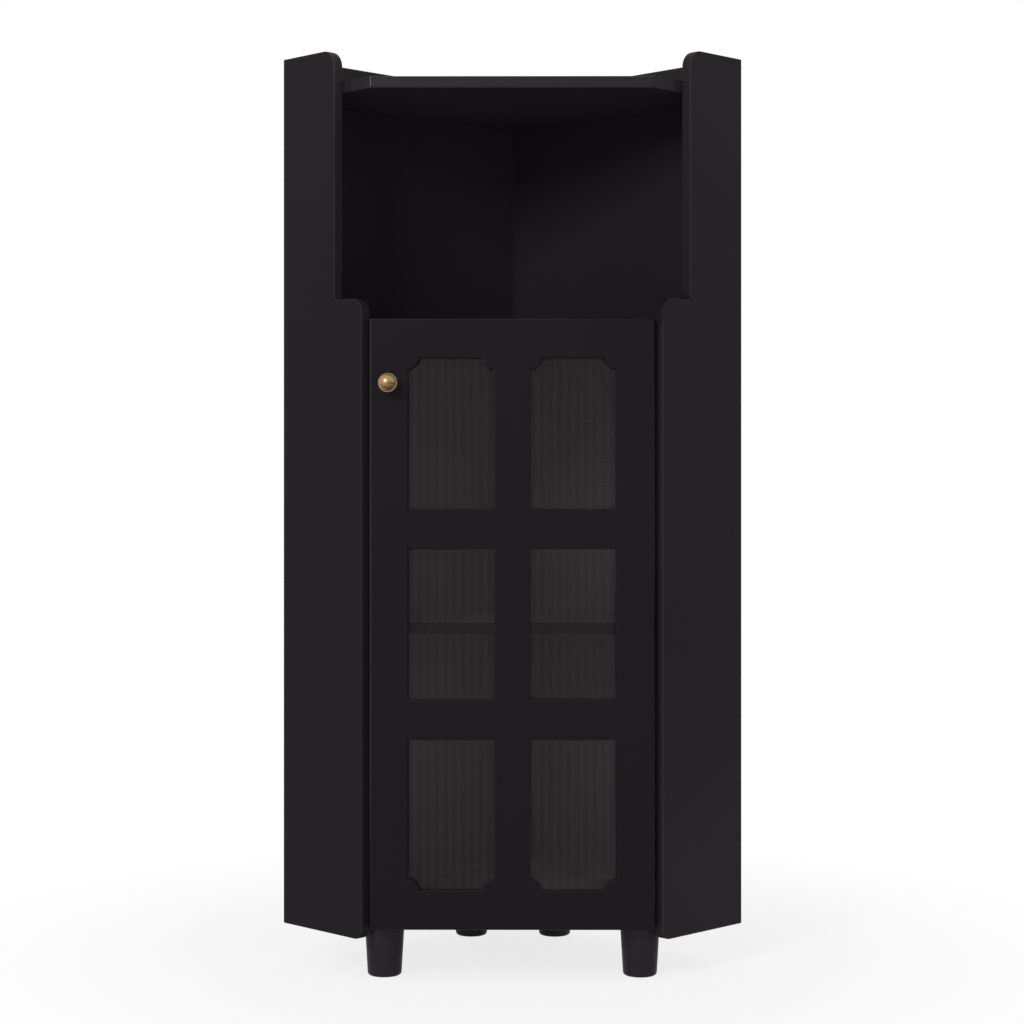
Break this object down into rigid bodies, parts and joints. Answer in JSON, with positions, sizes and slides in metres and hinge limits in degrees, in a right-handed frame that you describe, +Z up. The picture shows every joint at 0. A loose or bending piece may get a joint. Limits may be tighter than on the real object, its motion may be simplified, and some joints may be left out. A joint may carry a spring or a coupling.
{
  "type": "corner display cabinet",
  "caption": "Tall black corner cabinet with an open niche over a cupboard whose window-grid door holds fluted glass, on short tapered legs.",
  "frame": {"origin": "on the floor, below the middle of the box that holds the cabinet", "axes": "+Z up, the door faces -Y and the room corner lies at +Y"},
  "size_m": [0.6, 0.445, 1.186],
  "materials": {
    "black_paint": "satin black paint on board",
    "black_leg": "satin black paint on turned wood",
    "black_door": "satin black paint on board",
    "black_bead": "satin black paint",
    "reeded_glass": "vertical reeds",
    "brass": "polished",
    "bright_steel": "zinc plated",
    "cast_zinc": "die cast",
    "hinge_steel": "nickel plated",
    "magnet": "sintered",
    "beech": "bare",
    "black_plastic": "moulded",
    "white_nylon": "moulded",
    "clear_rubber": "soft, clear"
  },
  "bodies": {
    "carcass": {"left_side_panel": "black_paint", "right_side_panel": "black_paint", "left_back_panel": "black_paint", "right_back_panel": "black_paint", "top_board": "black_paint", "niche_floor": "black_paint", "cupboard_shelf": "black_paint", "bottom_board": "black_paint", "front_left_leg": "black_leg", "front_right_leg": "black_leg", "rear_left_leg": "black_leg", "rear_right_leg": "black_leg", "leg_bolts": "bright_steel", "leg_inserts": "bright_steel", "leg_glides": "black_plastic", "board_dowels": "beech", "back_panel_dowels": "beech", "back_panel_screws": "bright_steel", "cam_bolts": "bright_steel", "cam_discs": "cast_zinc", "shelf_pins": "bright_steel", "upper_hinge_plate": "hinge_steel", "lower_hinge_plate": "hinge_steel", "upper_hinge_washer": "white_nylon", "lower_hinge_washer": "white_nylon", "hinge_screws": "bright_steel", "catch_housing": "black_plastic", "catch_magnet": "magnet", "catch_screws": "bright_steel"},
    "door": {"door_frame": "black_door", "fluted_glass": "reeded_glass", "glass_bead_left": "black_bead", "glass_bead_right": "black_bead", "glass_bead_top": "black_bead", "glass_bead_bottom": "black_bead", "glass_bead_pins": "bright_steel", "knob": "brass", "knob_screw": "bright_steel", "upper_hinge_pin": "bright_steel", "lower_hinge_pin": "bright_steel", "strike_plate": "hinge_steel", "strike_screw": "bright_steel", "door_bumpers": "clear_rubber"}
  },
  "joints": [
    {"name": "door_hinge", "type": "hinge", "parent": "carcass", "child": "door", "pos_m": [0.172, -0.18532, 0.453], "axis": [0, 0, 1], "range_deg": [0, 95]}
  ]
}
